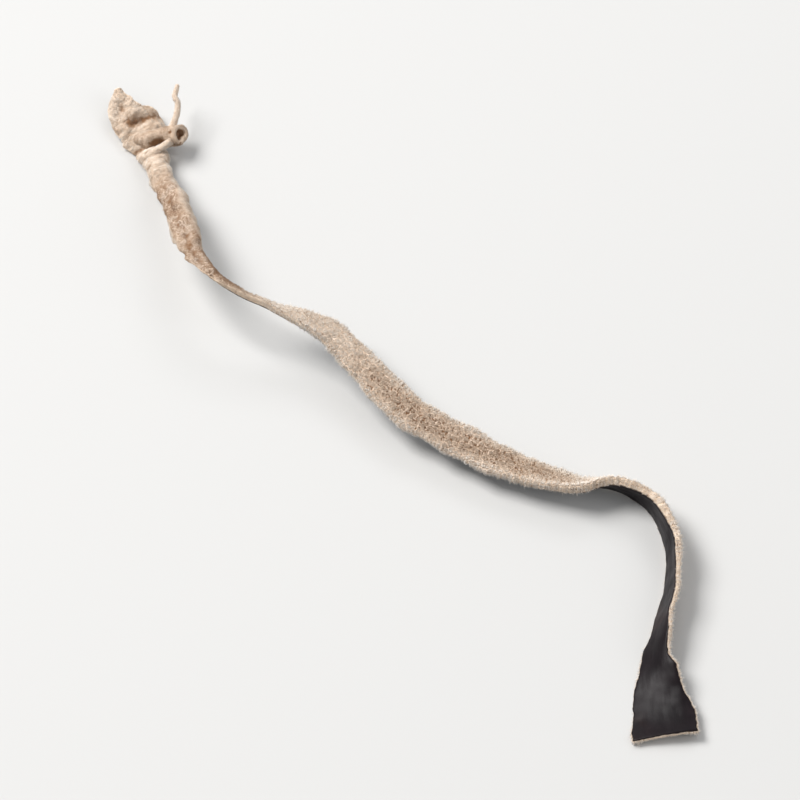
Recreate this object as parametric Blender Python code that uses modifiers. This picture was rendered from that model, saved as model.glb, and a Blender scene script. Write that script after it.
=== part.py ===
"""Dried wood ear mushroom: one shredded strip, as it lies on a flat surface.

The strip was sliced from a large white-backed wood ear cap and dried. It is one piece of
mushroom: a ribbon about 3.5 mm wide and 0.9 mm thick, felted on its outer face and smooth and
dark on its inner face. One end keeps a piece of the cap's crumpled margin: a puckered lobe,
a rolled cornet, a thin hem and a short whisker. From there the ribbon runs as a gutter over
a low arch, opens out flat with the felt up, turns on its edge round a bend, and ends in a
flared tail with the dark face up.

Metres, +Z up. The origin is the centre of the bounding box's base, on the surface that the
strip lies on. +X runs to the right, +Y away from the flared tail.
"""

import math

import bmesh
import bpy
import numpy as np
from mathutils import Vector

MM = 0.001

# ---- driving dimensions, in millimetres and degrees ----
THICKNESS = 0.9          # of the dried ribbon
RIM_ROUND = 0.22         # rounding of the cut edges
ALONG, ACROSS = 112, 6   # cells of the ribbon's grid
END_CROWD = 1.35         # crowds cells towards the crumpled end
SINK = 0.16              # how far the feet are pressed flat where the strip rests
PUCKER_DEPTH = 0.25      # of the folds in the crumpled lobe
PUCKER_REACH = 9.0       # how far along the ribbon the folds fade out
EDGE_WAVE = 0.10         # waviness of the cut edges
TAIL_STEP = 0.65         # how far each cut edge steps out where the tail begins to flare
TAIL_STEPS = (99.6, 102.2)  # where it does so on the left and on the right, along the ribbon
SHIFT = (1.22, 0.88)     # puts the origin under the centre of the bounding box

# Stations along the ribbon's middle line. Roll turns the ribbon about its own line: 0 has the
# felt up, 90 stands it on its edge, 180 has the dark face up. Curl is the angle that the
# section bends through from edge to edge, felt outside.
#    x      y     z   width  roll  curl
STATIONS = (
    (-30.6,  38.7, 2.10, 1.30, -14,  20),
    (-29.9,  36.3, 1.60, 3.60, -14,  25),
    (-28.1,  34.1, 0.90, 5.20,  -4,  40),
    (-26.9,  31.1, 1.20, 3.00,   0, 165),
    (-26.1,  27.3, 2.70, 2.60,  -4, 200),
    (-24.4,  22.8, 4.40, 3.40,  -4, 215),
    (-23.4,  18.6, 5.50, 3.40,   4, 215),
    (-22.2,  15.2, 6.10, 2.10,  20, 180),
    (-20.3,  12.5, 6.30, 1.40,  40, 110),
    (-17.8,  10.7, 6.10, 1.15,  54,  40),
    (-14.7,   9.5, 5.40, 1.40,  46,  30),
    (-12.0,   8.6, 4.80, 2.20,  26,  36),
    ( -8.8,   7.3, 4.10, 2.80,  12,  34),
    ( -6.8,   5.4, 3.70, 3.10,   5,  30),
    ( -4.9,   3.1, 3.40, 3.30,   0,  26),
    ( -0.3,  -1.8, 2.80, 3.60,  -3,  22),
    (  6.1,  -5.9, 2.30, 3.70,   0,  22),
    ( 12.2,  -8.9, 2.10, 3.55,  16,  18),
    ( 16.8, -10.2, 2.00, 3.50,  38,  14),
    ( 20.8, -10.1, 1.90, 3.40,  68,  10),
    ( 24.4, -12.1, 1.90, 3.40,  86,   8),
    ( 26.6, -16.9, 1.95, 3.40, 104,   8),
    ( 26.6, -22.6, 1.90, 3.40, 113,   8),
    ( 25.5, -27.4, 1.72, 3.20, 125,   0),
    ( 25.1, -31.7, 1.50, 3.30, 149, -14),
    ( 25.6, -37.7, 0.85, 5.20, 171, -24),
    ( 25.9, -40.2, 1.10, 5.80, 174, -26),
)


def through(at, values, wanted):
    """Values at the wanted places, on a smooth curve through the given ones."""
    values = np.asarray(values, float).reshape(len(at), -1)
    slope = np.gradient(values, at, axis=0)
    i = np.clip(np.searchsorted(at, wanted, side="right") - 1, 0, len(at) - 2)
    step = (at[i + 1] - at[i])[:, None]
    t = ((wanted - at[i]) / (at[i + 1] - at[i]))[:, None]
    return (
        (2 * t**3 - 3 * t**2 + 1) * values[i]
        + (t**3 - 2 * t**2 + t) * step * slope[i]
        + (3 * t**2 - 2 * t**3) * values[i + 1]
        + (t**3 - t**2) * step * slope[i + 1]
    )


def ribbon(share, side):
    """Points of the ribbon's middle surface, in millimetres. share runs 0 to 1 along it and side -1 to 1 across it."""
    stations = np.array(STATIONS)
    line = stations[:, :3]
    at = np.r_[0, np.cumsum(np.linalg.norm(np.diff(line, axis=0), axis=1))]
    run = share * at[-1]
    centre = through(at, line, run)
    ahead = through(at, line, np.minimum(run + 0.05, at[-1]))
    behind = through(at, line, np.maximum(run - 0.05, 0))
    tangent = ahead - behind
    tangent /= np.linalg.norm(tangent, axis=1)[:, None]
    width, roll, curl = through(at, stations[:, 3:], run).T
    roll, curl = np.radians(roll), np.radians(np.where(abs(curl) < 0.1, 0.1, curl))
    level = np.cross((0, 0, 1), tangent)
    level /= np.linalg.norm(level, axis=1)[:, None]
    above = np.cross(tangent, level)
    out = np.cos(roll)[:, None] * level - np.sin(roll)[:, None] * above
    felt = np.cross(tangent, out)
    # cut edges waver a little, each in its own way
    half = width / 2 * (1 + EDGE_WAVE * 0.5 * (np.sin(run * 1.31 + 2 * side) + np.sin(run * 0.57 + 4 * side)) * abs(side))
    step = np.clip((run - np.where(side > 0, *TAIL_STEPS)) / 1.6 + 0.5, 0, 1)
    half = half + TAIL_STEP * step * step * (3 - 2 * step)
    bend = width / curl
    turn = side * half / bend
    sideways = bend * np.sin(turn)
    drop = bend * (np.cos(turn) - np.sin(curl / 2) / (curl / 2))
    # the crumpled lobe is puckered across and along
    fade = np.clip(1 - run / PUCKER_REACH, 0, 1) ** 0.7 * np.clip(run / 1.2, 0, 1)
    drop = drop + PUCKER_DEPTH * fade * np.sin(5.2 * side + 0.9 * run) * np.cos(1.25 * run - 1.1 * side)
    return centre + sideways[:, None] * out + drop[:, None] * felt


def link(name, mesh, collection):
    obj = bpy.data.objects.new(name, mesh)
    collection.objects.link(obj)
    return obj


def helper(obj):
    obj.hide_render = True
    obj.display_type = "WIRE"
    return obj


def tube(name, points, radii, collection):
    """A closed tapering tube along points, in millimetres, as a mesh."""
    curve = bpy.data.curves.new(name, "CURVE")
    curve.dimensions = "3D"
    curve.bevel_depth = 1.0 * MM
    curve.bevel_resolution = 2
    curve.use_fill_caps = True
    spline = curve.splines.new("POLY")
    at = np.linspace(0, 1, len(points))
    fine = np.linspace(0, 1, 4 * len(points) - 3)
    spline.points.add(len(fine) - 1)
    for point, place, radius in zip(
        spline.points, through(at, points, fine), np.interp(fine, at, radii)
    ):
        point.co = (*(place * MM), 1)
        point.radius = radius
    made = link(name + "_line", curve, collection)
    bpy.context.view_layer.update()
    graph = bpy.context.evaluated_depsgraph_get()
    mesh = bpy.data.meshes.new_from_object(made.evaluated_get(graph))
    mesh.name = name
    obj = link(name, mesh, collection)
    obj.matrix_world = made.matrix_world
    bpy.data.objects.remove(made)
    sewn = bmesh.new()
    sewn.from_mesh(mesh)
    bmesh.ops.remove_doubles(sewn, verts=sewn.verts, dist=1e-6)
    bmesh.ops.recalc_face_normals(sewn, faces=sewn.faces)
    sewn.to_mesh(mesh)
    sewn.free()
    return helper(obj)


def boolean(obj, name, operation, other):
    cut = obj.modifiers.new(name, "BOOLEAN")
    cut.operation = operation
    cut.solver = "EXACT"
    cut.object = other


def material(name, colour, roughness):
    made = bpy.data.materials.new(name)
    made.use_nodes = True
    surface = made.node_tree.nodes["Principled BSDF"]
    surface.inputs["Base Color"].default_value = (*colour, 1)
    surface.inputs["Roughness"].default_value = roughness
    surface.inputs["Metallic"].default_value = 0.0
    return made


for old in list(bpy.data.objects):
    bpy.data.objects.remove(old)

model = bpy.data.collections.new("dried_wood_ear_mushroom")
cutters = bpy.data.collections.new("helpers")
bpy.context.scene.collection.children.link(model)
bpy.context.scene.collection.children.link(cutters)

origin = bpy.data.objects.new("strip_origin", None)
model.objects.link(origin)

# ---- the ribbon: a flat grid laid along the stations, then given its thickness ----
sheet = bmesh.new()
bmesh.ops.create_grid(sheet, x_segments=ALONG, y_segments=ACROSS, size=1.0)
places = np.array([v.co for v in sheet.verts], float)
share = ((places[:, 0] + 1) / 2) ** END_CROWD
for vert, place in zip(sheet.verts, ribbon(share, places[:, 1])):
    vert.co = Vector(place) * MM
bmesh.ops.recalc_face_normals(sheet, faces=sheet.faces)
mesh = bpy.data.meshes.new("mushroom_strip")
sheet.to_mesh(mesh)
sheet.free()
strip = link("mushroom_strip", mesh, model)

thicken = strip.modifiers.new("thickness", "SOLIDIFY")
thicken.thickness = THICKNESS * MM
thicken.offset = 0
rounding = strip.modifiers.new("cut_edges", "BEVEL")
rounding.width = RIM_ROUND * MM
rounding.segments = 1
rounding.limit_method = "ANGLE"
rounding.angle_limit = math.radians(55)

# ---- the crumpled margin at the ribbon's end ----
cornet = tube(
    "cornet",
    ((-28.86, 33.05, 1.20), (-27.34, 32.57, 1.65), (-25.79, 32.79, 1.85), (-24.56, 32.80, 2.20), (-23.99, 32.54, 2.90)),
    (0.40, 0.98, 1.02, 1.02, 1.05),
    cutters,
)
hollow = tube(
    "cornet_hollow",
    ((-24.18, 32.98, 2.30), (-23.88, 32.86, 2.90), (-23.55, 32.71, 3.60)),
    (0.30, 0.46, 0.50),
    cutters,
)
hem = tube(
    "hem",
    ((-27.88, 30.32, 1.50), (-26.74, 30.72, 2.10), (-25.86, 31.30, 2.40), (-24.73, 32.21, 2.40)),
    (0.36, 0.34, 0.34, 0.38),
    cutters,
)
whisker = tube(
    "whisker",
    ((-25.08, 33.37, 2.30), (-24.50, 34.52, 3.10), (-24.33, 35.87, 3.60), (-24.65, 36.62, 3.80), (-24.34, 38.00, 4.00)),
    (0.42, 0.36, 0.32, 0.32, 0.27),
    cutters,
)
boolean(strip, "rolled_margin", "UNION", cornet)
boolean(strip, "hem", "UNION", hem)
boolean(strip, "whisker", "UNION", whisker)
boolean(strip, "open_roll", "DIFFERENCE", hollow)

# ---- the feet, pressed flat where the strip dried against its tray ----
tray_mesh = bpy.data.meshes.new("tray_plane")
tray_box = bmesh.new()
bmesh.ops.create_cube(tray_box, size=1.0)
bmesh.ops.scale(tray_box, vec=(0.2, 0.2, 0.01), verts=tray_box.verts)
tray_box.to_mesh(tray_mesh)
tray_box.free()
tray = helper(link("tray_plane", tray_mesh, cutters))
tray.location = (0, 0, -0.005)
tray.parent = origin
boolean(strip, "flat_feet", "DIFFERENCE", tray)

strip.data.materials.append(material("dried_mushroom_felt", (0.52, 0.42, 0.32), 0.9))
strip.data.shade_smooth()
strip.parent = origin
strip.location = (SHIFT[0] * MM, SHIFT[1] * MM, -SINK * MM)
for obj in (cornet, hollow, hem, whisker):
    obj.parent = origin
    obj.location = strip.location
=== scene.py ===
"""Looks for one dried strip of white-backed wood ear mushroom, lying on a pale floor.

The strip's skin is one fine closed mesh on the same line, widths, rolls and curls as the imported
solid. Its felt is mesh too: short tapering hairs, in four pieces along the strip.
"""

import math
from itertools import product

import bpy
import numpy as np
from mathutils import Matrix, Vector, kdtree


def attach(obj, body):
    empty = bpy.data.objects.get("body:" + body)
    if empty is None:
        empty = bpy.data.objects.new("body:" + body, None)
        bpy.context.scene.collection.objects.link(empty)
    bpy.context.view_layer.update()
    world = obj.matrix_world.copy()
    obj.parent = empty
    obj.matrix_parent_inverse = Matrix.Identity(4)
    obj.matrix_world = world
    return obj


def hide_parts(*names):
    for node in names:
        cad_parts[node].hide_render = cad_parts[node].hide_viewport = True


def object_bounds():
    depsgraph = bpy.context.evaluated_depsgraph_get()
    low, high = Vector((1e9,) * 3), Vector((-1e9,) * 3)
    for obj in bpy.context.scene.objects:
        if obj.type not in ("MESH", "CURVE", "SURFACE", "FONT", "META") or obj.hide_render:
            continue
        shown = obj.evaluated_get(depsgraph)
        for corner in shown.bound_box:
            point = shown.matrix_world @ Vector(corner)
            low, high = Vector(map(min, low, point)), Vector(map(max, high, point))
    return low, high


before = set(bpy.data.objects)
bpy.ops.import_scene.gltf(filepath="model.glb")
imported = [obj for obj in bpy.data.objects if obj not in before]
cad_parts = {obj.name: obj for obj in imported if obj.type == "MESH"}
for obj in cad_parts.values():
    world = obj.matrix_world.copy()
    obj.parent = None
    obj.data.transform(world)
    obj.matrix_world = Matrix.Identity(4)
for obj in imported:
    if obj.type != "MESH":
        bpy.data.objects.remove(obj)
cad_low, cad_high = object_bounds()

MM = 0.001

# ---- the strip's own dimensions, in millimetres and degrees ----
THICKNESS = 0.9
SINK = 0.16
SHIFT = (1.22, 0.88)
PUCKER_DEPTH = 0.25
PUCKER_REACH = 9.0
TAIL_STEP = 0.65
TAIL_STEPS = (99.6, 102.2)
#    x      y     z   width  roll  curl
STATIONS = np.array((
    (-30.6,  38.7, 2.10, 1.30, -14,  20),
    (-29.9,  36.3, 1.60, 3.60, -14,  25),
    (-28.1,  34.1, 0.90, 5.20,  -4,  40),
    (-26.9,  31.1, 1.20, 3.00,   0, 165),
    (-26.1,  27.3, 2.70, 2.60,  -4, 200),
    (-24.4,  22.8, 4.40, 3.40,  -4, 215),
    (-23.4,  18.6, 5.50, 3.40,   4, 215),
    (-22.2,  15.2, 6.10, 2.10,  20, 180),
    (-20.3,  12.5, 6.30, 1.40,  40, 110),
    (-17.8,  10.7, 6.10, 1.15,  54,  40),
    (-14.7,   9.5, 5.40, 1.40,  46,  30),
    (-12.0,   8.6, 4.80, 2.20,  26,  36),
    ( -8.8,   7.3, 4.10, 2.80,  12,  34),
    ( -6.8,   5.4, 3.70, 3.10,   5,  30),
    ( -4.9,   3.1, 3.40, 3.30,   0,  26),
    ( -0.3,  -1.8, 2.80, 3.60,  -3,  22),
    (  6.1,  -5.9, 2.30, 3.70,   0,  22),
    ( 12.2,  -8.9, 2.10, 3.55,  16,  18),
    ( 16.8, -10.2, 2.00, 3.50,  38,  14),
    ( 20.8, -10.1, 1.90, 3.40,  68,  10),
    ( 24.4, -12.1, 1.90, 3.40,  86,   8),
    ( 26.6, -16.9, 1.95, 3.40, 104,   8),
    ( 26.6, -22.6, 1.90, 3.40, 113,   8),
    ( 25.5, -27.4, 1.72, 3.20, 125,   0),
    ( 25.1, -31.7, 1.50, 3.30, 149, -14),
    ( 25.6, -37.7, 0.85, 5.20, 171, -24),
    ( 25.9, -40.2, 1.10, 5.80, 174, -26),
))

# ---- fineness ----
ROWS_LOBE, ROWS_REST = 120, 846
ACROSS, THROUGH = 36, 8
SLANT = 0.14             # how much further the felt face reaches at each cut edge than the dark face
HAIRS = 49000            # in each of the four pieces
NECK_ENDS = 30.0         # where the rolled neck has opened out, along the strip


# ---------------------------------------------------------------- scattered numbers
def scramble(cell, seed):
    """A repeatable number in 0..1 for each whole-number cell."""
    n = np.full(cell.shape[0], (seed * 2654435761) & 0xFFFFFFFF, np.int64)
    for k, prime in enumerate((73856093, 19349663, 83492791)[: cell.shape[1]]):
        n ^= (cell[:, k] * prime) & 0xFFFFFFFF
    n = ((n ^ (n >> 16)) * 0x45D9F3B) & 0xFFFFFFFF
    n = ((n ^ (n >> 16)) * 0x45D9F3B) & 0xFFFFFFFF
    n ^= n >> 16
    return n / 4294967296.0


def noise(places, size, seed=0, octaves=1):
    """Smooth noise in about -1..1 with features of the given size. Places have 2 or 3 columns."""
    total, weight = np.zeros(len(places)), 1.0
    for octave in range(octaves):
        p = places / size * 2**octave + 11.7 * octave
        base = np.floor(p).astype(np.int64)
        f = p - base
        fade = f**3 * (f * (f * 6 - 15) + 10)
        for corner in product((0, 1), repeat=p.shape[1]):
            corner = np.array(corner)
            share = np.prod(np.where(corner == 1, fade, 1 - fade), axis=1)
            slope = np.stack(
                [scramble(base + corner, seed * 7 + 3 * octave + k) * 2 - 1 for k in range(p.shape[1])], 1
            )
            total += weight * 1.7 * share * np.sum(slope * (f - corner), axis=1)
        weight *= 0.5
    return total


def cells(places, size, seed=0, jitter=0.85):
    """Nearest and next distance to a scattered set of dots, in cell sizes, the way to the nearest and its own number."""
    p = places / size
    base = np.floor(p)
    best, second = np.full(len(p), 9.0), np.full(len(p), 9.0)
    way, own = np.zeros_like(p), np.zeros(len(p))
    for step in product((-1, 0, 1), repeat=p.shape[1]):
        cell = base + np.array(step)
        whole = cell.astype(np.int64)
        dot = cell + 0.5 + jitter * (
            np.stack([scramble(whole, seed + 11 * k) for k in range(p.shape[1])], 1) - 0.5
        )
        gap = dot - p
        far = np.linalg.norm(gap, axis=1)
        closer = far < best
        second = np.where(closer, best, np.minimum(second, far))
        way[closer] = gap[closer]
        own[closer] = scramble(whole, seed + 77)[closer]
        best = np.minimum(best, far)
    return best, second, way * size, own


def smooth(low, high, value):
    t = np.clip((value - low) / (high - low), 0, 1)
    return t * t * (3 - 2 * t)


def hill(value, middle, reach):
    return np.exp(-(((value - middle) / reach) ** 2))


def through(at, values, wanted):
    """Values at the wanted places, on a smooth curve through the given ones."""
    values = np.asarray(values, float).reshape(len(at), -1)
    slope = np.gradient(values, at, axis=0)
    i = np.clip(np.searchsorted(at, wanted, side="right") - 1, 0, len(at) - 2)
    step = (at[i + 1] - at[i])[:, None]
    t = ((wanted - at[i]) / (at[i + 1] - at[i]))[:, None]
    return (
        (2 * t**3 - 3 * t**2 + 1) * values[i]
        + (t**3 - 2 * t**2 + t) * step * slope[i]
        + (3 * t**2 - 2 * t**3) * values[i + 1]
        + (t**3 - t**2) * step * slope[i + 1]
    )


def unit(vectors):
    return vectors / np.maximum(np.linalg.norm(vectors, axis=-1, keepdims=True), 1e-12)


def blurred(field, down, over, times=2):
    """A lattice field averaged over a window of 2*down+1 rows by 2*over+1 columns."""
    for _ in range(times):
        for axis, half in ((0, down), (1, over)):
            padded = np.concatenate(
                [np.repeat(np.take(field, [0], axis), half + 1, axis), field, np.repeat(np.take(field, [-1], axis), half, axis)],
                axis,
            )
            total = np.cumsum(padded, axis)
            n = field.shape[axis]
            field = (np.take(total, range(2 * half + 1, 2 * half + 1 + n), axis) - np.take(total, range(n), axis)) / (2 * half + 1)
    return field


# ---------------------------------------------------------------- felt: tufts and brown pits
def felt_relief(flow, middle, crumbly):
    """Height and brownness of the felted face. flow is (along, across) in mm; middle is 1 mid-width and 0 at the rims."""
    near, _, _, _ = cells(flow, 0.46, 5)
    tufts = 0.045 * (1 - np.minimum(near / 0.62, 1) ** 2)
    bent = flow + 0.15 * np.stack([noise(flow, 0.9, 31), noise(flow, 0.9, 32)], 1)
    big, _, _, own = cells(bent, 0.60, 21)
    crumbs, _, _, own_crumb = cells(bent, 0.34, 23)
    knobs = 0.07 * own * (1 - np.minimum(big / 0.60, 1) ** 2) + (0.03 + 0.08 * own_crumb) * (1 - np.minimum(crumbs / 0.60, 1) ** 2)
    # short wandering brown marks: thin lines of a noise's zero, kept in places
    bare = smooth(0.23, 0.05, abs(noise(flow, 0.34, 13, 2))) * smooth(-0.16, 0.24, noise(flow, 0.46, 14))
    marks = bare * smooth(0.05, 0.75, middle + 0.30 * noise(flow, 1.5, 18))
    _, _, way, own = cells(flow, 0.40, 15, 0.95)
    reach = np.hypot(way[:, 0] / 0.115, way[:, 1] / 0.075) * (1 + 0.5 * noise(flow, 0.16, 16))
    dots = (1 - smooth(0.5, 1.15, reach)) * (own < 0.12 + 0.42 * middle)
    height = tufts * (1 - crumbly) + knobs * crumbly + 0.05 * noise(flow, 1.6, 17, 2)
    height = height - (0.040 * marks + 0.050 * dots) * (1 - 0.6 * crumbly)
    brown = np.maximum(0.92 * marks, dots) * (1 - 0.6 * crumbly)
    return height, brown


# ---------------------------------------------------------------- the ribbon's skin
run_at = np.r_[0, np.cumsum(np.linalg.norm(np.diff(STATIONS[:, :3], axis=0), axis=1))]
LENGTH = run_at[-1]
run = np.r_[np.linspace(0, 10.0, ROWS_LOBE + 1), np.linspace(10.0, LENGTH, ROWS_REST + 1)[1:]]
ROWS = len(run) - 1
side = np.linspace(-1, 1, ACROSS + 1)


def sections(run):
    """Middle points, the across and felt-side directions, width and curl of the ribbon's sections."""
    centre = through(run_at, STATIONS[:, :3], run)
    ahead = through(run_at, STATIONS[:, :3], np.minimum(run + 0.05, LENGTH))
    behind = through(run_at, STATIONS[:, :3], np.maximum(run - 0.05, 0))
    tangent = unit(ahead - behind)
    width, roll, curl = through(run_at, STATIONS[:, 3:], run).T
    roll, curl = np.radians(roll), np.radians(np.where(abs(curl) < 0.1, 0.1, curl))
    level = unit(np.cross((0, 0, 1), tangent))
    above = np.cross(tangent, level)
    out = np.cos(roll)[:, None] * level - np.sin(roll)[:, None] * above
    return centre, out, np.cross(tangent, out), width, curl


def edge_half(run, width, way):
    """Half the width to one cut edge, with the edge's slow waver and the small nicks of a knife cut."""
    slow = 0.05 * (np.sin(run * 1.31 + 2 * way) + np.sin(run * 0.57 + 4 * way))
    line = np.stack([run, np.full_like(run, 40.0 * way)], 1)
    nicks = 0.085 * noise(line, 0.95, 51, 2) + 0.035 * noise(line, 0.30, 53)
    step = np.clip((run - TAIL_STEPS[0 if way > 0 else 1]) / 1.6 + 0.5, 0, 1)
    beads = 0.15 * noise(line, 1.15, 55, 2) * smooth(30, 24, run) * smooth(0.6, 2.6, run)
    slow = slow - 0.45 * smooth(1.6, 0.0, run)  # the lobe runs out to a blunt point
    return width / 2 * (1 + slow) + nicks * np.minimum(width / 3, 1) + beads + TAIL_STEP * step * step * (3 - 2 * step)


centre, out, felt_way, width, curl = sections(run)
to_right, to_left = edge_half(run, width, 1), edge_half(run, width, -1)
S, U = np.meshgrid(run, side, indexing="ij")
A = U * ((to_right + to_left)[:, None] / 2 + U * (to_right - to_left)[:, None] / 2)
bend = (width / curl)[:, None]
turn = A / bend
flat = lambda field: field.reshape(-1)
grid = lambda values: values.reshape(S.shape)
flow2 = np.stack([flat(S), flat(A)], 1)

# folds carry both faces with them
fade = np.clip(1 - S / PUCKER_REACH, 0, 1) ** 0.7 * np.clip(S / 1.2, 0, 1)
fold = PUCKER_DEPTH * fade * np.sin(5.2 * U + 0.9 * S) * np.cos(1.25 * S - 1.1 * U)
lobe = smooth(9.5, 7.0, S)
fold += lobe * grid(0.15 * noise(flow2, 1.9, 61, 2) + 0.06 * noise(flow2, 0.8, 62))
# a raised flap at the right, and the crease that runs under the rolled margin below it
fold += lobe * 0.10 * hill(S, 3.2 + 0.32 * A, 0.60) * smooth(0.0, 1.4, A)
fold -= lobe * 0.27 * hill(S, 4.30 + 0.34 * A, 0.46) * smooth(-1.3, 0.1, A)
# where the lobe is gathered into the neck: a tuck, then a raised rim
fold += -0.26 * hill(S, 8.0 + 0.35 * U, 0.42) + 0.24 * hill(S, 9.1 + 0.3 * U, 0.50)
# cross creases on the upper neck
upper = smooth(8.6, 10.0, S) * smooth(17.0, 13.0, S)
crease = grid(noise(np.stack([flat(S) + 0.5 * flat(U), flat(U) * 0.9], 1), 1.25, 63, 2))
fold += 0.22 * upper * crease
# the groove between the neck's two rolls
groove_at = -0.27 + 0.10 * np.sin(S * 0.62) + 0.05 * np.sin(S * 1.9 + 1)
groove = smooth(12.8, 16.0, S) * smooth(NECK_ENDS, 26.5, S)
fold += -0.46 * groove * hill(A, groove_at * width[:, None] / 2, 0.52 + 0.08 * np.sin(S * 2.3))
# knuckles along the rolls
rolls = smooth(10.0, 14.0, S) * smooth(33.0, 27.0, S)
fold += rolls * grid(0.20 * noise(flow2 * (1.0, 0.7), 1.25, 64, 2) + 0.07 * noise(flow2, 0.62, 69, 2))
# slow unevenness everywhere
fold += grid(0.06 * noise(flow2, 2.6, 65, 2)) * smooth(26, 34, S)
# the tail's long shallow furrow
tail = smooth(97, 103, S)
fold += 0.12 * tail * np.sin(2.6 * U + 0.12 * (S - 100))

rim = np.cos(turn)[..., None] * felt_way[:, None, :] + np.sin(turn)[..., None] * out[:, None, :]
middle_surface = (
    centre[:, None, :]
    + (bend * np.sin(turn))[..., None] * out[:, None, :]
    + (bend * (np.cos(turn) - (np.sin(curl / 2) / (curl / 2))[:, None]))[..., None] * felt_way[:, None, :]
    + fold[..., None] * rim
)
T_along = unit(np.gradient(middle_surface, axis=0))
T_across = np.gradient(middle_surface, axis=1)
T_across = unit(T_across - np.sum(T_across * T_along, -1, keepdims=True) * T_along)
N = rim  # the unfolded section's own normal, so that folds don't pinch the thickness

thick = THICKNESS * (1 + grid(0.07 * noise(flow2, 2.2, 66, 2)))
thick *= (1 - 0.30 * lobe - 0.22 * hill(S, 33.0, 5.0)) * (1 - 0.48 * smooth(83, 95, S))
# where the strip is rolled up, the dark face stays clear of the roll's own middle
inner_half = np.clip(np.where(curl[:, None] > 1.0, bend + fold - 0.14, 9.0), 0.10, thick / 2)
mid_width = 1 - smooth(0.35, 0.95, abs(U))
crumbly = np.clip(lobe + 0.75 * smooth(18, 12, S) + 0.35 * smooth(33, 24, S), 0, 1)
speckled = 0.30 * smooth(30, 42, S) + 0.70 * smooth(46, 55, S) * smooth(77, 69, S)
relief, brown = (grid(x) for x in felt_relief(flow2, flat(mid_width * speckled), flat(crumbly)))
dark_relief = grid(
    0.009 * noise(flow2 * (0.22, 1.2), 0.62, 71, 2)
    + 0.004 * noise(flow2 * (0.35, 1.2), 0.28, 72)
    + 0.040 * noise(flow2 * (0.5, 1.0), 2.3, 73)
)
# painted shade: creases and hollows of the folds and felt go brown, added to the felt's own brown marks
worn = fold + relief
painted_hollow_shade = np.clip((blurred(worn, 6, 3) - worn) / 0.13, 0, 1)
painted_fold_shade = np.clip((blurred(fold, 11, 5) - fold) / 0.20, 0, 1)
brown = np.clip(np.maximum(brown, np.maximum(0.40 * painted_hollow_shade * crumbly, (0.85 - 0.25 * lobe) * painted_fold_shade * smooth(34, 28, S) * (1 - 0.75 * groove))), 0, 1)
stains = smooth(-0.15, 0.45, grid(noise(flow2, 0.85, 68, 2)))
patchy = smooth(-0.45, 0.25, grid(noise(flow2, 0.66, 58, 2)))
brown = np.maximum(brown, (0.18 + 0.24 * smooth(2.2, 3.8, S)) * lobe * stains)
# painted shade: brown in the lobe's hollow middle and along the crease under the rolled margin, broken up by patchy
# noise
brown = np.maximum(brown, 0.90 * lobe * hill(np.hypot(S - 4.1, A + 0.25), 0, 0.85) * (0.50 + 0.50 * patchy))
brown = np.maximum(brown, 0.82 * lobe * hill(S - 4.30 - 0.34 * A, 0, 0.52) * smooth(-1.0, 0.1, A) * (0.35 + 0.65 * patchy))
brown = np.maximum(brown, 0.30 * smooth(8.6, 10.0, S) * smooth(33.0, 27.0, S) * stains)
# painted shade: brown along the groove between the neck's two rolls
brown = np.maximum(brown, 0.62 * groove * hill(A, groove_at * width[:, None] / 2, 0.60) * (0.45 + 0.55 * patchy) * (1 + grid(0.5 * noise(flow2, 0.9, 67, 2))))
low_neck = smooth(19, 23, S) * smooth(34, 30, S)
brown = np.maximum(brown, 0.46 * low_neck * smooth(0.80, 0.45, abs(U)) * patchy)

# one closed box of a grid, wrapped round the middle surface with rounded corners
ring = (
    [(j, 0) for j in range(ACROSS)]
    + [(ACROSS, k) for k in range(THROUGH)]
    + [(j, THROUGH) for j in range(ACROSS, 0, -1)]
    + [(0, k) for k in range(THROUGH, 0, -1)]
)  # (column, layer); layer 0 is the felt face and the last one the dark face
AROUND = len(ring)


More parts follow.
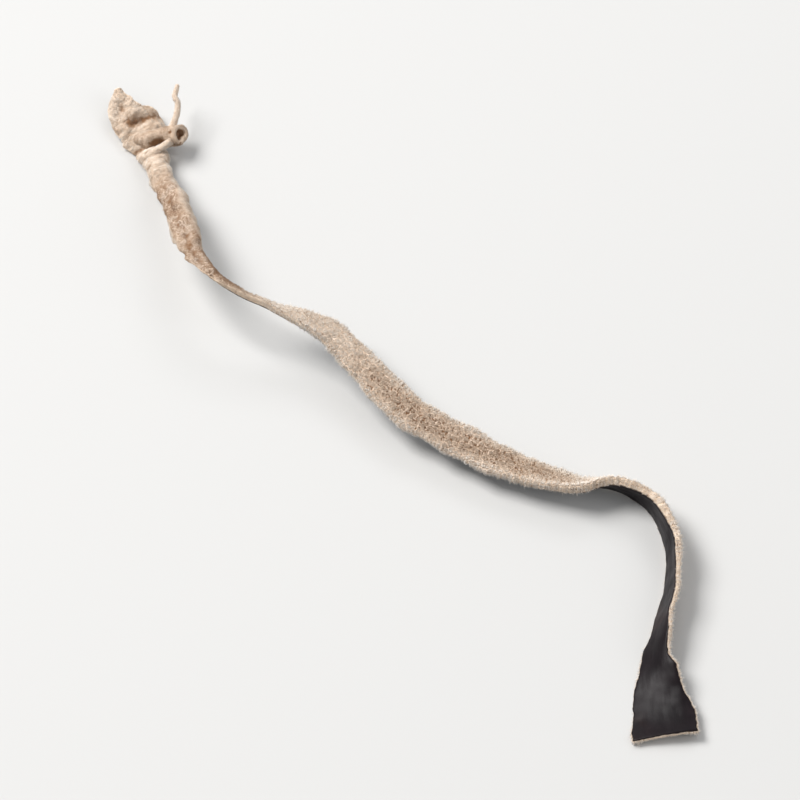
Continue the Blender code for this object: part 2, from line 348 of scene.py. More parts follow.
def wrap(i, j, k):
    """Position and attributes of the box's surface points, at row i, column j and layer k."""
    half = thick[i, j] / 2
    round_off = np.minimum(0.17, half * 0.6)
    s = S[i, j]
    narrow = 1 - SLANT * (k / THROUGH) * 2 / width[i]
    a = A[i, j] * narrow
    b = half * (1 - 2 * k / THROUGH)
    low_a, high_a = A[i, 0] * narrow + round_off, A[i, -1] * narrow - round_off
    inner = np.stack(
        [np.clip(s, round_off, LENGTH - round_off), np.clip(a, low_a, high_a), np.clip(b, round_off - half, half - round_off)], 1
    )
    away = np.stack([s, a, b], 1) - inner
    placed = inner + unit(away) * round_off[:, None]
    ds, da, b2 = placed[:, 0] - s, placed[:, 1] - A[i, j], placed[:, 2]
    here = flow2[i * (ACROSS + 1) + j]
    facing = unit(away)
    on_felt, on_dark = np.clip(facing[:, 2], 0, 1), np.clip(-facing[:, 2], 0, 1)
    on_cut = np.sqrt(np.clip(1 - facing[:, 2] ** 2, 0, 1))
    cut_places = np.stack([s, a + 30, b], 1)
    ragged = 0.035 * noise(cut_places * (1, 1, 0.45), 0.26, 81, 2) + 0.03 * noise(cut_places, 0.7, 82)
    point = (
        middle_surface[i, j]
        + ds[:, None] * T_along[i, j]
        + da[:, None] * T_across[i, j]
        + np.where(b2 < 0, b2 * inner_half[i, j] / half, b2)[:, None] * N[i, j]
        + (on_felt * relief[i, j] - on_dark * dark_relief[i, j])[:, None] * N[i, j]
        + (on_cut * ragged)[:, None] * (facing[:, 0:1] * T_along[i, j] + facing[:, 1:2] * T_across[i, j])
    )
    depth = half - b2  # from the felt face down
    full = 2 * half
    skin_line = full - 0.13 - 0.05 * noise(cut_places[:, :2], 0.5, 83)
    dark = smooth(skin_line - 0.03, skin_line + 0.05, depth)
    cut = smooth(0.25, 0.85, on_cut) * (1 - dark)
    return {
        "point": point,
        "dark": dark,
        "cut": cut,
        "brown": brown[i, j] * on_felt,
        "flow": np.stack([s, a, b2], 1),
        "along": T_along[i, j],
        "across": T_across[i, j],
        "here": here,
    }


def joined(parts):
    return {key: np.concatenate([part[key] for part in parts]) for key in parts[0]}


ring_j, ring_k = np.array(ring).T
rows = np.repeat(np.arange(ROWS + 1), AROUND)
walls = wrap(rows, np.tile(ring_j, ROWS + 1), np.tile(ring_k, ROWS + 1))
cap_jk = np.array([(j, k) for k in range(1, THROUGH) for j in range(1, ACROSS)])
caps = [wrap(np.full(len(cap_jk), row), cap_jk[:, 0], cap_jk[:, 1]) for row in (0, ROWS)]
ribbon = joined([walls, *caps])
ribbon["kind"] = np.zeros(len(ribbon["point"]))
ribbon["lined"] = np.zeros(len(ribbon["point"]))


def box_of(low_u, high_u, low_v, high_v):
    return lambda u, v: np.stack([low_u + (high_u - low_u) * u, low_v + (high_v - low_v) * v], -1)


# walls: quads with their place on the bake's map, in four stacked stretches
perimeter = np.r_[0, np.cumsum([4.1 / ACROSS] * ACROSS + [0.9 / THROUGH] * THROUGH + [4.1 / ACROSS] * ACROSS + [0.9 / THROUGH] * THROUGH)]
perimeter /= perimeter[-1]
ii, jj = np.meshgrid(np.arange(ROWS), np.arange(AROUND), indexing="ij")
ii, jj = ii.ravel(), jj.ravel()
jn = (jj + 1) % AROUND
quads = [np.stack([ii * AROUND + jj, ii * AROUND + jn, (ii + 1) * AROUND + jn, (ii + 1) * AROUND + jj], 1)]
stretch = np.minimum((run[:-1] / LENGTH * 4).astype(int), 3)
starts = np.array([run[:-1][stretch == q].min() for q in range(4)])
stops = np.array([run[1:][stretch == q].max() for q in range(4)])
q = stretch[ii]
u0, u1 = ((run[ii + e] - starts[q]) / (stops[q] - starts[q]) for e in (0, 1))
v0, v1 = perimeter[jj], perimeter[jj + 1]
row_low = 0.004 + q * 0.216
to_map = lambda u, v: np.stack([0.004 + 0.992 * u, row_low + 0.208 * v], 1)
maps = [np.stack([to_map(u0, v0), to_map(u0, v1), to_map(u1, v1), to_map(u1, v0)], 1)]
# caps: the two cut ends
for which, row in enumerate((0, ROWS)):
    index = np.zeros((ACROSS + 1, THROUGH + 1), int)
    for n, (j, k) in enumerate(ring):
        index[j, k] = row * AROUND + n
    index[cap_jk[:, 0], cap_jk[:, 1]] = (ROWS + 1) * AROUND + which * len(cap_jk) + np.arange(len(cap_jk))
    j, k = (x.ravel() for x in np.meshgrid(np.arange(ACROSS), np.arange(THROUGH), indexing="ij"))
    corners = [(j, k), (j + 1, k), (j + 1, k + 1), (j, k + 1)]
    if which == 0:
        corners = corners[::-1]
    place = box_of(0.86, 0.99, 0.875 + 0.06 * which, 0.925 + 0.06 * which)
    quads.append(np.stack([index[c] for c in corners], 1))
    maps.append(np.stack([place(c[0] / ACROSS, c[1] / THROUGH) for c in corners], 1))
ribbon_faces, ribbon_map = np.concatenate(quads), np.concatenate(maps)


# ---------------------------------------------------------------- rolled and stringy margins
def carried(path, fine):
    """Points, tangents and two steady sideways directions along a short path."""
    at = np.linspace(0, 1, len(path))
    inside = np.clip(fine, 0, 1)
    place = through(at, path, inside)
    tangent = unit(through(at, path, np.minimum(inside + 0.01, 1)) - through(at, path, np.maximum(inside - 0.01, 0)))
    span = np.linalg.norm(np.diff(np.asarray(path, float), axis=0), axis=1).sum()
    place = place + ((fine - inside) * span)[:, None] * tangent
    first = unit(np.cross(tangent[0], (0, 0, 1.0)))
    firsts = []
    for t in tangent:
        first = unit(first - np.dot(first, t) * t)
        firsts.append(first)
    firsts = np.array(firsts)
    return place, tangent, firsts, np.cross(tangent, firsts), span


def swept(path, radii, profile, around, shape, kind, place_on_map, start_run):
    """A closed turned form along a path. profile lists (share along, share of the radius), poles first and last."""
    profile = np.array(profile)
    place, tangent, first, second, span = carried(path, profile[:, 0])
    radius = np.interp(np.clip(profile[:, 0], 0, 1), np.linspace(0, 1, len(radii)), radii) * profile[:, 1]
    body = slice(1, len(profile) - 1)
    angle = np.linspace(0, 2 * math.pi, around, endpoint=False)
    rows = len(profile) - 2
    spoke = np.cos(angle)[None, :, None] * first[body, None, :] + np.sin(angle)[None, :, None] * second[body, None, :]
    point = place[body, None, :] + radius[body, None, None] * spoke
    share = np.repeat(profile[body, 0], around)
    turned = np.tile(angle, rows)
    flat_point, flat_spoke = point.reshape(-1, 3), spoke.reshape(-1, 3)
    lined = np.repeat((np.arange(rows) > profile[body, 1].argmax()) & (profile[body, 1] < 0.8) & (profile[body, 0] > 0.5), around) if kind == 1 else np.zeros(rows * around, bool)
    push, tint = shape(flat_point, share, turned, lined)
    moved = flat_point + push[:, None] * flat_spoke
    poles = place[[0, -1]]
    made = {
        "point": np.concatenate([moved, poles]),
        "dark": np.zeros(len(moved) + 2),
        "cut": np.zeros(len(moved) + 2),
        # the cornet's far pole, deep in its mouth, is full brown: painted shade
        "brown": np.r_[np.clip(tint, 0, 1), 0, 1.0 if kind == 1 else 0],
        "flow": np.concatenate([
            np.stack([start_run + share * span, turned * np.repeat(np.maximum(radius[body], 0.2), around) + 40.0 * kind, turned * 0], 1),
            np.array([[start_run, 40.0 * kind, 0], [start_run + span, 40.0 * kind, 0]]),
        ]),
        "along": np.concatenate([np.repeat(tangent[body], around, 0), tangent[[0, -1]]]),
        "across": np.concatenate([np.cross(np.repeat(tangent[body], around, 0), flat_spoke), first[[0, -1]]]),
        "kind": np.full(len(moved) + 2, float(kind)),
        "lined": np.r_[lined.astype(float), 0, 1.0 if kind == 1 else 0],
    }
    made["here"] = made["flow"][:, :2]
    i, j = (x.ravel() for x in np.meshgrid(np.arange(rows - 1), np.arange(around), indexing="ij"))
    nxt = (j + 1) % around
    faces = [np.stack([i * around + j, i * around + nxt, (i + 1) * around + nxt, (i + 1) * around + j], 1)]
    v = lambda row: (row + 1) / (rows + 1)
    on = lambda jj, vv: place_on_map(jj / around, vv)
    spots = [np.stack([on(j, v(i)), on(j + 1, v(i)), on(j + 1, v(i + 1)), on(j, v(i + 1))], 1)]
    j = np.arange(around)
    nxt = (j + 1) % around
    zero, last = len(moved), len(moved) + 1
    fan_a = np.stack([np.full(around, zero), nxt, j], 1)
    fan_b = np.stack([(rows - 1) * around + j, (rows - 1) * around + nxt, np.full(around, last)], 1)
    spot_a = np.stack([on(j + 0.5, v(-1) + 0 * j), on(j + 1, v(0) + 0 * j), on(j, v(0) + 0 * j)], 1)
    spot_b = np.stack([on(j, v(rows - 1) + 0 * j), on(j + 1, v(rows - 1) + 0 * j), on(j + 0.5, v(rows) + 0 * j)], 1)
    return made, faces[0], spots[0], (np.concatenate([fan_a, fan_b]), np.concatenate([spot_a, spot_b]))


def rod(steps, blunt=0.04):
    """A profile with rounded ends."""
    shares = np.linspace(0, 1, steps)
    taper = np.sqrt(np.clip(1 - (1 - np.clip(np.minimum(shares, 1 - shares) / blunt, 0, 1)) ** 2, 0, 1))
    return [(s, max(t, 0.0)) for s, t in zip(shares, taper)]


toward = np.array((0, -math.cos(math.radians(57)), math.sin(math.radians(57))))
upward = np.array((0, math.sin(math.radians(57)), math.cos(math.radians(57))))
dent_at = np.array((-26.45, 32.55, 1.72)) + 0.90 * (0.88 * toward - 0.47 * upward)

speck_at = np.array((-25.0, 32.75, 2.15)) + 0.41 * upward + 0.93 * toward


def cornet_shape(point, share, turned, lined):
    knobs, _, _, own = cells(point, 0.55, 91)
    push = 0.14 * noise(point, 0.95, 92, 2) + (0.05 + 0.05 * own) * (0.6 - np.minimum(knobs, 0.9)) * 1.2
    away = np.linalg.norm((point - dent_at) * (0.66, 0.95, 1), axis=1)
    dent = 1 - smooth(0.15, 0.95, away)
    speck = hill(np.linalg.norm(point - speck_at, axis=1), 0, 0.20)
    push = np.where(lined, 0.05 * noise(point, 0.5, 93), push * (1 - 0.5 * dent) - 0.34 * dent - 0.14 * speck)
    # the mouth is no true circle
    push = push + (0.11 * np.cos(2 * turned + 0.9) + 0.07 * np.cos(3 * turned - 0.6)) * smooth(0.45, 0.92, share)
    # the roll's loose lip: a step along the cornet where the last turn overlaps
    lip = smooth(0.0, 0.5, turned) * smooth(2.6, 0.9, turned) * smooth(0.25, 0.6, share)
    push = push + np.where(lined, 0, 0.10 * lip)
    # painted shade: inside the mouth browner further in, and browner in the dent, in the gaps between knobs and along
    # the lip's seam
    tint = np.where(lined, 0.12 + 0.58 * smooth(0.95, 0.89, share), np.clip(0.30 * smooth(0.90, 0.80, share) * smooth(0.1, 0.5, noise(point, 1.4, 94) + 0.5) + 0.42 * dent + 0.45 * dent**3 + 0.9 * speck + 0.35 * smooth(0.60, 0.9, knobs), 0, 1))
    seam = hill(turned, 0.25, 0.16) * smooth(0.3, 0.7, share)
    return push - np.where(lined, 0, 0.10 * seam), np.maximum(tint, 0.7 * seam * ~lined)


def string_shape(size, amount, seed):
    def shape(point, share, turned, lined):
        knobs, _, _, own = cells(point, size, seed)
        push = amount * (noise(point, size * 1.8, seed + 1, 2) + 1.1 * (0.55 - np.minimum(knobs, 0.9)) * (0.4 + own))
        # painted shade: browner in the gaps between knobs
        return push, 0.45 * smooth(0.6, 0.9, knobs)

    return shape


rim_turn = np.linspace(0, math.pi, 9)
cornet_profile = (
    [(0.0, 0.0)]
    + [(s, math.sqrt(1 - (1 - min(s / 0.06, 1)) ** 2)) for s in np.linspace(0.012, 0.95, 44)]
    + [(0.95 + 0.05 * math.sin(t), 0.80 + 0.20 * math.cos(t)) for t in rim_turn[1:]]
    + [(s, r) for s, r in zip(np.linspace(0.93, 0.80, 12)[1:], np.linspace(0.59, 0.42, 12)[1:])]
    + [(0.785, 0.25), (0.78, 0.0)]
)
cornet_path = ((-28.87, 33.05, 1.20), (-27.33, 32.62, 1.55), (-25.78, 32.80, 1.82), (-24.67, 32.73, 2.30), (-23.99, 32.55, 2.90))
hem_path = ((-27.88, 30.32, 1.50), (-26.74, 30.72, 2.10), (-25.86, 31.30, 2.40), (-24.73, 32.21, 2.40))
whisker_path = ((-25.08, 33.37, 2.30), (-24.50, 34.52, 3.10), (-24.33, 35.87, 3.60), (-24.65, 36.62, 3.80), (-24.34, 38.00, 4.00))
extras = [
    swept(cornet_path, (0.40, 0.98, 1.02, 1.02, 1.05), cornet_profile, 46, cornet_shape, 1, box_of(0.004, 0.44, 0.872, 0.996), 3.0),
    swept(hem_path, (0.36, 0.34, 0.34, 0.38), rod(44, 0.08), 22, string_shape(0.42, 0.085, 95), 2, box_of(0.45, 0.60, 0.872, 0.996), 6.0),
    swept(whisker_path, (0.36, 0.29, 0.25, 0.25, 0.21), rod(66, 0.05), 20, string_shape(0.34, 0.035, 97), 3, box_of(0.61, 0.85, 0.872, 0.996), 2.0),
]


# ---------------------------------------------------------------- meshes
def mesh_of(name, points, face_sets):
    """A mesh from points in mm and (faces, map places) pairs."""
    mesh = bpy.data.meshes.new(name)
    mesh.vertices.add(len(points))
    mesh.vertices.foreach_set("co", (np.asarray(points) * MM).astype(np.float32).ravel())
    corners = np.concatenate([faces.ravel() for faces, _ in face_sets]).astype(np.int32)
    sizes = np.concatenate([np.full(len(faces), faces.shape[1]) for faces, _ in face_sets])
    mesh.loops.add(len(corners))
    mesh.loops.foreach_set("vertex_index", corners)
    mesh.polygons.add(len(sizes))
    mesh.polygons.foreach_set("loop_start", np.r_[0, np.cumsum(sizes)[:-1]].astype(np.int32))
    mesh.update(calc_edges=True)
    mesh.uv_layers.new(name="OFBake")
    mesh.uv_layers["OFBake"].data.foreach_set(
        "uv", np.concatenate([places.reshape(-1, 2) for _, places in face_sets]).astype(np.float32).ravel()
    )
    mesh.validate()
    return mesh


def object_of(name, mesh):
    made = bpy.data.objects.new(name, mesh)
    bpy.context.scene.collection.objects.link(made)
    return made


def facing_out(points, faces):
    """The signed volume the faces enclose; the callers turn the faces round when it is negative."""
    corner = points[faces[:, :3]]
    volume = np.einsum("ij,ij->", corner[:, 0], np.cross(corner[:, 1], corner[:, 2]))
    if faces.shape[1] == 4:
        corner = points[faces[:, [0, 2, 3]]]
        volume += np.einsum("ij,ij->", corner[:, 0], np.cross(corner[:, 1], corner[:, 2]))
    return volume


def settled(points):
    """From the ribbon's frame to the strip's: shifted, and pressed flat on the surface below."""
    moved = points + (SHIFT[0], SHIFT[1], -SINK)
    height = moved[:, 2]
    moved[:, 2] = np.where(height < 0.12, 0.12 * np.exp(np.minimum(height - 0.12, 0) / 0.12), height)
    return moved


ribbon["point"] = settled(ribbon["point"])
if facing_out(ribbon["point"], ribbon_faces) < 0:
    ribbon_faces, ribbon_map = ribbon_faces[:, ::-1], ribbon_map[:, ::-1]
skin = object_of("strip_skin", mesh_of("strip_skin", ribbon["point"], [(ribbon_faces, ribbon_map)]))
pieces = [ribbon]
joins = []
for number, (made, faces, places, (fans, fan_places)) in enumerate(extras):
    made["point"] = settled(made["point"])
    if facing_out(made["point"], faces) < 0:
        faces, places, fans, fan_places = faces[:, ::-1], places[:, ::-1], fans[:, ::-1], fan_places[:, ::-1]
    other = object_of(f"margin_{number}", mesh_of(f"margin_{number}", made["point"], [(faces, places), (fans, fan_places)]))
    union = skin.modifiers.new(f"union_{number}", "BOOLEAN")
    union.operation, union.solver, union.object = "UNION", "EXACT", other
    joins.append(other)
    pieces.append(made)
everything = joined(pieces)

bpy.context.view_layer.update()
fused = bpy.data.meshes.new_from_object(skin.evaluated_get(bpy.context.evaluated_depsgraph_get()))
skin.modifiers.clear()
skin.data = fused
fused.name = "strip_skin"
for other in joins:
    bpy.data.objects.remove(other)

# each vertex of the fused skin takes the numbers of the vertex it came from
count = len(fused.vertices)
where = np.zeros(count * 3, np.float32)
fused.vertices.foreach_get("co", where)
where = where.reshape(-1, 3).astype(float) / MM
tree = kdtree.KDTree(len(everything["point"]))
for n, p in enumerate(everything["point"]):
    tree.insert(p, n)
tree.balance()
origin = np.array([tree.find(p)[1] for p in where])
held = {key: everything[key][origin] for key in ("dark", "cut", "brown", "flow", "along", "across", "kind", "lined", "here")}
# the cornet's back comes through under the lobe, and is dark there like the rest of that face
downward = np.zeros(count * 3, np.float32)
fused.vertices.foreach_get("normal", downward)
beneath = (held["kind"] == 1) & (held["lined"] < 0.5) & (where[:, 0] < -24.8)
held["dark"] = np.where(beneath, np.maximum(held["dark"], smooth(-0.40, -0.65, downward.reshape(-1, 3)[:, 2])), held["dark"])

for old in list(fused.attributes):
    if old.name in ("dark", "cut", "brown", "flow"):
        fused.attributes.remove(old)
for key in ("dark", "cut", "brown"):
    fused.attributes.new(key, "FLOAT", "POINT").data.foreach_set("value", held[key].astype(np.float32))
fused.attributes.new("flow", "FLOAT_VECTOR", "POINT").data.foreach_set("vector", held["flow"].astype(np.float32).ravel())
fused.shade_smooth()
fused.calc_loop_triangles()
triangles = np.zeros(len(fused.loop_triangles) * 3, np.int32)
fused.loop_triangles.foreach_get("vertices", triangles)
triangles = triangles.reshape(-1, 3)
print("skin:", count, "vertices,", len(triangles), "triangles")

# ---------------------------------------------------------------- the felt's hairs
corner = where[triangles]
face_normal = np.cross(corner[:, 1] - corner[:, 0], corner[:, 2] - corner[:, 0])
area = np.linalg.norm(face_normal, axis=1) / 2
normals = np.zeros_like(where)
for k in range(3):
    np.add.at(normals, triangles[:, k], face_normal)
normals = unit(normals)
mean = lambda key: held[key][triangles].mean(axis=1)
t_dark, t_cut, t_brown, t_run, t_kind = mean("dark"), mean("cut"), mean("brown"), held["flow"][triangles][:, :, 0].mean(1), mean("kind")
inside_roll = (t_kind == 1) & (held["lined"][triangles].mean(1) > 0.5)
density = np.clip(1 - 1.5 * t_dark, 0, 1) * (1 - 0.45 * t_cut) * (1 - 0.50 * t_brown)
density *= np.where(corner[:, :, 2].min(1) < 0.02, 0, 1) * np.where(inside_roll, 0.15, 1)
order = np.argsort(t_run, kind="stable")
weight = np.cumsum((area * density)[order])
lots = np.random.default_rng(7)
total_hairs = 4 * HAIRS
pick = order[np.searchsorted(weight, (np.arange(total_hairs) + lots.random(total_hairs)) / total_hairs * weight[-1] * (1 - 1e-9))]
r1, r2 = np.sqrt(lots.random(total_hairs)), lots.random(total_hairs)
bary = np.stack([1 - r1, r1 * (1 - r2), r1 * r2], 1)
blend = lambda values: np.einsum("ij,ij...->i...", bary, values[triangles[pick]])
root = blend(where)
normal = unit(blend(normals))
h_cut, h_brown, h_dark = blend(held["cut"]), blend(held["brown"]), blend(held["dark"])
h_flow, h_kind = blend(held["flow"]), held["kind"][triangles[pick][:, 0]]
along, across = unit(blend(held["along"])), unit(blend(held["across"]))
here = h_flow[:, :2]
h_run, h_side = h_flow[:, 0], h_flow[:, 1]
h_half = np.interp(h_run, run, width) / 2
to_rim = np.where(h_kind == 0, smooth(0.62, 1.0, abs(h_side) / h_half), 0)
h_neck = np.where(h_kind == 0, smooth(33, 27, h_run), 1)
near, _, way, own = cells(here, 0.46, 5)
_, _, way2, own2 = cells(here, 0.20, 6)
pull = way * 1.15 + way2 * 0.9
lean = pull[:, :1] * along + pull[:, 1:2] * across
comb = 0.10 * along + 0.10 * noise(here, 1.9, 101)[:, None] * across + 0.12 * noise(here, 1.3, 102)[:, None] * along
outward = (np.sign(h_side) * to_rim)[:, None] * across
shake = lots.normal(size=(total_hairs, 3))
length = (0.12 + 0.10 * lots.random(total_hairs)) * (1 + 0.30 * (own - 0.5)) * (1 + 0.25 * noise(here, 1.1, 103))
length *= 1 + 0.85 * to_rim * smooth(32, 40, h_run) - 0.38 * h_neck - 0.42 * h_cut - 0.25 * h_brown
stray = lots.random(total_hairs) < 0.012 + 0.030 * to_rim
length = np.where(stray, length * (1.5 + 0.9 * lots.random(total_hairs)), length)
direction = unit(normal + lean * 2.3 + comb * 1.5 + outward * 0.35 + shake * np.where(stray, 0.30, 0.20)[:, None])
too_low = np.sum(direction * normal, 1) < 0.30
direction = unit(np.where(too_low[:, None], direction + 0.5 * normal, direction))
tip = root + direction * length[:, None]
tip[:, 2] = np.maximum(tip[:, 2], 0.012)
thin = 0.021 + 0.010 * lots.random(total_hairs)
e1 = unit(np.cross(direction, shake))
e2 = np.cross(direction, e1)
base = root - 0.03 * normal
base[:, 2] = np.maximum(base[:, 2], 0.03)
feet = [base + thin[:, None] * (math.cos(t) * e1 + math.sin(t) * e2) for t in (0, 2 * math.pi / 3, 4 * math.pi / 3)]
for foot in feet:
    foot[:, 2] = np.maximum(foot[:, 2], 0.006)
hair_points = np.stack([*feet, tip], 1)

# tone: 0 brown, 1 cream
warm_middle = np.where(h_kind == 0, (1 - smooth(0.2, 0.9, abs(h_side) / h_half)) * smooth(44, 54, h_run) * smooth(79, 70, h_run), 0)
painted_tuft_gap_shade = smooth(0.36, 0.62, near)  # painted shade: hair tips darker in the gaps between tufts
h_groove = h_half * (-0.27 + 0.10 * np.sin(h_run * 0.62) + 0.05 * np.sin(h_run * 1.9 + 1))
off_groove = abs(h_side - h_groove) + 0.22 * noise(here, 1.3, 105)
painted_roll_light = smooth(0.60, 1.05, off_groove) * smooth(9.5, 13.0, h_run) * smooth(34, 30, h_run) * (h_kind == 0)  # painted light: the neck's rolls paler on their crowns, away from the groove
neck_tan = np.where(h_kind == 0, smooth(10.5, 17, h_run) * smooth(38, 30, h_run) * (1 - 0.70 * painted_roll_light), 0) + 0.50 * (h_kind == 1)
tone_root = np.clip(0.60 - 0.50 * h_brown - 0.26 * warm_middle - 0.44 * neck_tan + 0.10 * h_cut + 0.06 * shake[:, 0] + 0.10 * noise(here, 2.2, 104), 0, 1)
tone_tip = np.clip(0.90 - 0.74 * neck_tan + 0.16 * painted_roll_light - 0.72 * h_brown * (1 - 0.35 * painted_roll_light) - 0.36 * warm_middle - 0.14 * painted_tuft_gap_shade + (0.26 * (h_run > 30) + 0.12 * (h_run > 9)) * to_rim + 0.05 * h_cut + 0.10 * (own - 0.5) + 0.07 * shake[:, 1] + 0.12 * noise(here, 2.2, 104), 0, 1)
tones = np.stack([tone_root, tone_root, tone_root, tone_tip], 1)

side_faces = np.array([(0, 2, 1), (0, 1, 3), (1, 2, 3), (2, 0, 3)])
swap = np.einsum("ij,ij->i", np.cross(feet[1] - feet[0], feet[2] - feet[0]), tip - feet[0]) < 0
hairs = []
for part, name in enumerate(("felt_hairs_lobe_and_neck", "felt_hairs_upper", "felt_hairs_middle", "felt_hairs_bend_and_tail")):
    take = slice(part * HAIRS, (part + 1) * HAIRS)
    faces = (np.arange(HAIRS)[:, None, None] * 4 + side_faces[None]).reshape(-1, 3)
    flip = np.repeat(swap[take], 4)
    faces = np.where(flip[:, None], faces[:, ::-1], faces)
    # each hair has its own small square on the bake's map: a quarter for each of its faces
    per_line = math.ceil(math.sqrt(HAIRS))
    number = np.arange(HAIRS)
    low = np.stack([number % per_line, number // per_line], 1) / per_line
    step = 1 / per_line
    inset, far = 0.06, 0.94
    square = np.array([(inset, inset), (far, inset), (far, far), (inset, far)])
    middle = np.array((0.5, 0.5))
    quarter = np.array([[square[k], square[(k + 1) % 4], middle] for k in range(4)])
    quarter = quarter + (middle - quarter.mean(axis=1, keepdims=True)) * -0.04
    places = low[:, None, None, :] + quarter[None] * step
    places = places.reshape(-1, 3, 2)
    places = np.where(flip[:, None, None], places[:, ::-1], places)
    mesh = mesh_of(name, hair_points[take].reshape(-1, 3), [(faces, places)])
    mesh.attributes.new("tone", "FLOAT", "POINT").data.foreach_set("value", tones[take].astype(np.float32).ravel())
    hairs.append(object_of(name, mesh))


# ---------------------------------------------------------------- materials
class Nodes:
    """A small helper that adds nodes and links them by name."""

    def __init__(self, name):
        self.material = bpy.data.materials.new(name)
        self.material.use_nodes = True
        self.tree = self.material.node_tree
        self.shader = self.tree.nodes["Principled BSDF"]

    def add(self, kind, inputs=None, **settings):
        node = self.tree.nodes.new(kind)
        for key, value in settings.items():
            setattr(node, key, value)
        for key, value in (inputs or {}).items():
            if isinstance(value, bpy.types.NodeSocket):
                self.tree.links.new(value, node.inputs[key])
            else:
                node.inputs[key].default_value = value
        return node

    def attribute(self, name, vector=False):
        node = self.add("ShaderNodeAttribute", attribute_name=name, attribute_type="GEOMETRY")
        return node.outputs["Vector" if vector else "Fac"]

    def math(self, operation, a, b=0.0, c=None):
        node = self.add("ShaderNodeMath", {0: a, 1: b}, operation=operation)
        if c is not None:
            if isinstance(c, bpy.types.NodeSocket):
                self.tree.links.new(c, node.inputs[2])
            else:
                node.inputs[2].default_value = c
        return node.outputs[0]

    def noise(self, where, scale, detail=3.0, rough=0.55, distortion=0.0):
        node = self.add("ShaderNodeTexNoise", {"Vector": where, "Scale": scale, "Detail": detail, "Roughness": rough, "Distortion": distortion})
        return node.outputs["Fac"]

    def stretched(self, vector, by):
        return self.add("ShaderNodeVectorMath", {0: vector, 1: by}, operation="MULTIPLY").outputs[0]

    def ramp(self, value, *stops):
        node = self.add("ShaderNodeValToRGB", {"Fac": value})
        elements = node.color_ramp.elements
        while len(elements) < len(stops):
            elements.new(0.5)
        for element, (at, colour) in zip(elements, stops):
            element.position = at
            element.color = (*colour, 1) if len(colour) == 3 else colour
        return node.outputs["Color"]

    def mix(self, share, a, b, how="MIX"):
        node = self.add("ShaderNodeMix", data_type="RGBA", blend_type=how)
        for key, value in ((0, share), (6, a), (7, b)):
            if isinstance(value, bpy.types.NodeSocket):
                self.tree.links.new(value, node.inputs[key])
            else:
                node.inputs[key].default_value = (*value, 1) if isinstance(value, tuple) else value
        return node.outputs[2]

    def spread(self, value, low, high, to_low=0.0, to_high=1.0):
        node = self.add("ShaderNodeMapRange", {"Value": value, "From Min": low, "From Max": high, "To Min": to_low, "To Max": to_high})
        node.interpolation_type = "SMOOTHSTEP"
        return node.outputs["Result"]

    def wire(self, socket, name):
        self.tree.links.new(socket, self.shader.inputs[name])


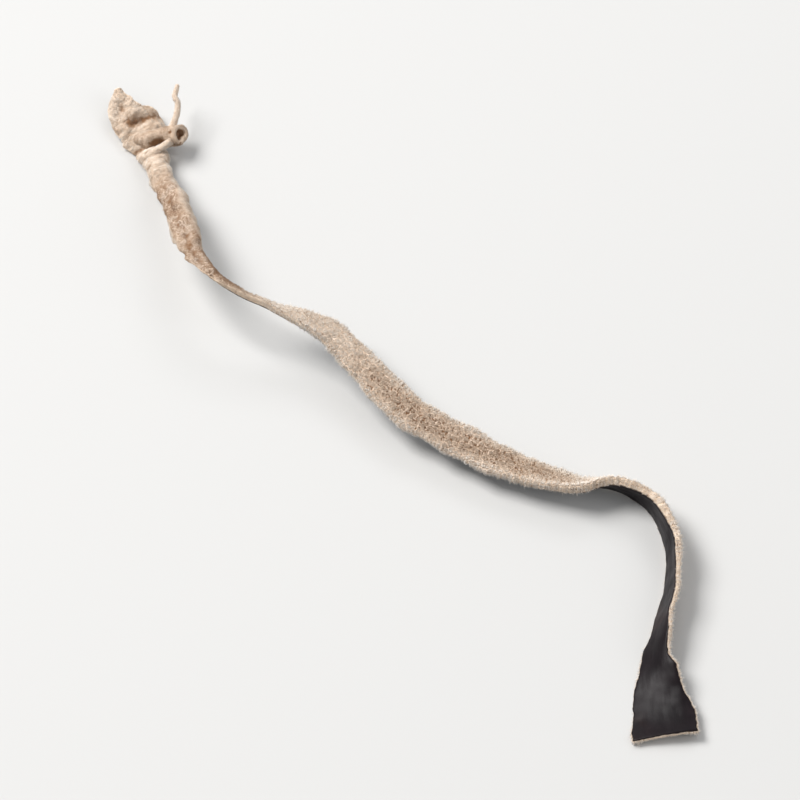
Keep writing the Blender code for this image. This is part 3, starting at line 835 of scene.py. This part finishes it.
def skin_material():
    n = Nodes("wood_ear_skin")
    at = n.add("ShaderNodeTexCoord").outputs["Object"]
    flow = n.attribute("flow", vector=True)
    dark, cut, brown = n.attribute("dark"), n.attribute("cut"), n.attribute("brown")

    # felt: cream to tan, with its own brown marks and the painted shade of its creases and hollows, both from the
    # brown attribute
    patches = n.noise(at, 520, 4.0, 0.6)
    fine = n.noise(at, 4200, 3.0, 0.6)
    felt = n.ramp(patches, (0.32, (0.61, 0.475, 0.365)), (0.55, (0.72, 0.585, 0.470)), (0.75, (0.81, 0.690, 0.580)))
    felt = n.mix(n.spread(fine, 0.46, 0.72, 0.0, 0.6), felt, (0.48, 0.33, 0.21))
    brown_and_shade_edge = n.math("ADD", brown, n.math("MULTIPLY", n.math("SUBTRACT", n.noise(at, 2600, 2.0), 0.5), 0.5))
    felt = n.mix(n.spread(brown_and_shade_edge, 0.22, 0.80), felt, (0.275, 0.150, 0.078))

    # cut edge: pale flesh with faint layers and brown flecks
    grain = n.noise(n.stretched(flow, (1.5, 1.5, 7.0)), 1.0, 4.0, 0.6)
    flesh = n.ramp(grain, (0.30, (0.60, 0.44, 0.31)), (0.48, (0.78, 0.62, 0.47)), (0.70, (0.88, 0.74, 0.59)))
    flecks = n.noise(n.stretched(flow, (1.6, 3.2, 3.6)), 1.0, 2.0, 0.5)
    flesh = n.mix(n.spread(flecks, 0.58, 0.70), flesh, (0.30, 0.17, 0.09))

    # inner face: near black, a little purple, reddish where it is thin
    cloud = n.noise(at, 260, 4.0, 0.55)
    ink = n.ramp(cloud, (0.30, (0.0062, 0.0042, 0.0054)), (0.55, (0.0116, 0.0078, 0.0096)), (0.78, (0.0215, 0.0135, 0.0150)))
    red = n.spread(n.noise(at, 150, 3.0, 0.5, 0.4), 0.60, 0.80, 0.0, 0.45)
    ink = n.mix(red, ink, (0.034, 0.014, 0.010))
    dust = n.spread(n.noise(at, 5200, 2.0, 0.6), 0.68, 0.80, 0.0, 0.16)
    ink = n.mix(dust, ink, (0.09, 0.07, 0.062))

    colour = n.mix(cut, felt, flesh)
    colour = n.mix(dark, colour, ink)
    n.wire(colour, "Base Color")

    satin = n.spread(n.noise(at, 700, 3.0, 0.6), 0.30, 0.72, 0.36, 0.42)
    matt = n.spread(fine, 0.3, 0.7, 0.86, 0.97)
    rough = n.add("ShaderNodeMix", data_type="FLOAT")
    n.tree.links.new(dark, rough.inputs[0])
    n.tree.links.new(matt, rough.inputs[2])
    n.tree.links.new(satin, rough.inputs[3])
    n.wire(rough.outputs[0], "Roughness")

    wrinkles = n.noise(n.stretched(flow, (1.1, 5.0, 5.0)), 1.0, 4.0, 0.55)
    grainy = n.noise(at, 6500, 3.0, 0.6)
    fibres = n.noise(at, 3600, 4.0, 0.65)
    smooth_height = n.math("ADD", n.math("MULTIPLY", wrinkles, 0.20), n.math("MULTIPLY", grainy, 0.10))
    height = n.add("ShaderNodeMix", data_type="FLOAT")
    n.tree.links.new(dark, height.inputs[0])
    n.tree.links.new(n.math("MULTIPLY", fibres, 1.6), height.inputs[2])
    n.tree.links.new(smooth_height, height.inputs[3])
    bump = n.add("ShaderNodeBump", {"Height": height.outputs[0], "Strength": 0.55, "Distance": 0.00006})
    n.wire(bump.outputs["Normal"], "Normal")
    n.shader.inputs["Metallic"].default_value = 0.0
    n.shader.inputs["IOR"].default_value = 1.30
    n.shader.inputs["Specular IOR Level"].default_value = 0.27
    n.shader.inputs["Sheen Weight"].default_value = 0.0
    return n.material


def hair_material():
    n = Nodes("felt_hair")
    at = n.add("ShaderNodeTexCoord").outputs["Object"]
    tone = n.attribute("tone")
    patches = n.math("MULTIPLY", n.math("SUBTRACT", n.noise(at, 480, 3.0, 0.6), 0.5), 0.22)
    fine = n.math("MULTIPLY", n.math("SUBTRACT", n.noise(at, 2600, 2.0, 0.6), 0.5), 0.25)
    value = n.math("ADD", tone, n.math("ADD", patches, fine))
    colour = n.ramp(
        value,
        (0.05, (0.260, 0.135, 0.062)),
        (0.32, (0.510, 0.365, 0.255)),
        (0.60, (0.765, 0.645, 0.530)),
        (0.84, (0.925, 0.832, 0.738)),
        (1.00, (0.985, 0.935, 0.885)),
    )
    n.wire(colour, "Base Color")
    n.wire(n.spread(fine, -0.1, 0.1, 0.78, 0.92), "Roughness")
    n.shader.inputs["Metallic"].default_value = 0.0
    n.shader.inputs["IOR"].default_value = 1.45
    n.shader.inputs["Sheen Weight"].default_value = 0.25
    n.shader.inputs["Sheen Roughness"].default_value = 0.5
    return n.material


skin.data.materials.clear()
skin.data.materials.append(skin_material())
felt_hair = hair_material()
for piece in hairs:
    piece.data.materials.append(felt_hair)

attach(skin, "root")
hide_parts("mushroom_strip")
for piece in hairs:
    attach(piece, "root")

# ---------------------------------------------------------------- floor, light and camera
ELEVATION = math.radians(57)
middle = (cad_low + cad_high) / 2
aim = Vector((middle.x, middle.y, middle.z))
back = Vector((0, -math.cos(ELEVATION), math.sin(ELEVATION)))
camera_data = bpy.data.cameras.new("camera")
camera_data.lens, camera_data.sensor_width = 1000, 36
camera_data.clip_start, camera_data.clip_end = 0.01, 10
camera = bpy.data.objects.new("camera", camera_data)
camera.location = aim + back * 2.29
camera.rotation_euler = (-back).to_track_quat("-Z", "Y").to_euler()
bpy.context.scene.collection.objects.link(camera)
bpy.context.scene.camera = camera

floor_mesh = bpy.data.meshes.new("floor")
floor_mesh.from_pydata([(-3, -3, 0), (3, -3, 0), (3, 3, 0), (-3, 3, 0)], [], [(0, 1, 2, 3)])
floor = object_of("floor", floor_mesh)
floor.location.z = -0.00002
paper = Nodes("floor")
paper.shader.inputs["Base Color"].default_value = (0.62, 0.616, 0.608, 1)
paper.shader.inputs["Roughness"].default_value = 0.85
floor_mesh.materials.append(paper.material)


def lamp(name, place, size, power, colour=(1, 1, 1)):
    data = bpy.data.lights.new(name, "AREA")
    data.shape, data.size, data.size_y = "RECTANGLE", size[0], size[1]
    data.energy, data.color = power, colour
    made = bpy.data.objects.new(name, data)
    made.location = place
    made.rotation_euler = (Vector(place) - aim).to_track_quat("Z", "Y").to_euler()
    bpy.context.scene.collection.objects.link(made)


lamp("key", (-0.56, 0.30, 0.76), (0.50, 0.50), 11.6, (1.0, 0.99, 0.975))
lamp("back", (0.25, 0.70, 0.62), (0.60, 0.30), 1.6, (0.96, 0.98, 1.0))
lamp("fill", (0.75, -0.35, 0.55), (0.6, 0.6), 1.7)

world = bpy.data.worlds.new("studio")
world.use_nodes = True
world.node_tree.nodes["Background"].inputs["Color"].default_value = (0.97, 0.985, 1.0, 1)
world.node_tree.nodes["Background"].inputs["Strength"].default_value = 0.40
bpy.context.scene.world = world
bpy.context.scene.view_settings.view_transform = "Standard"
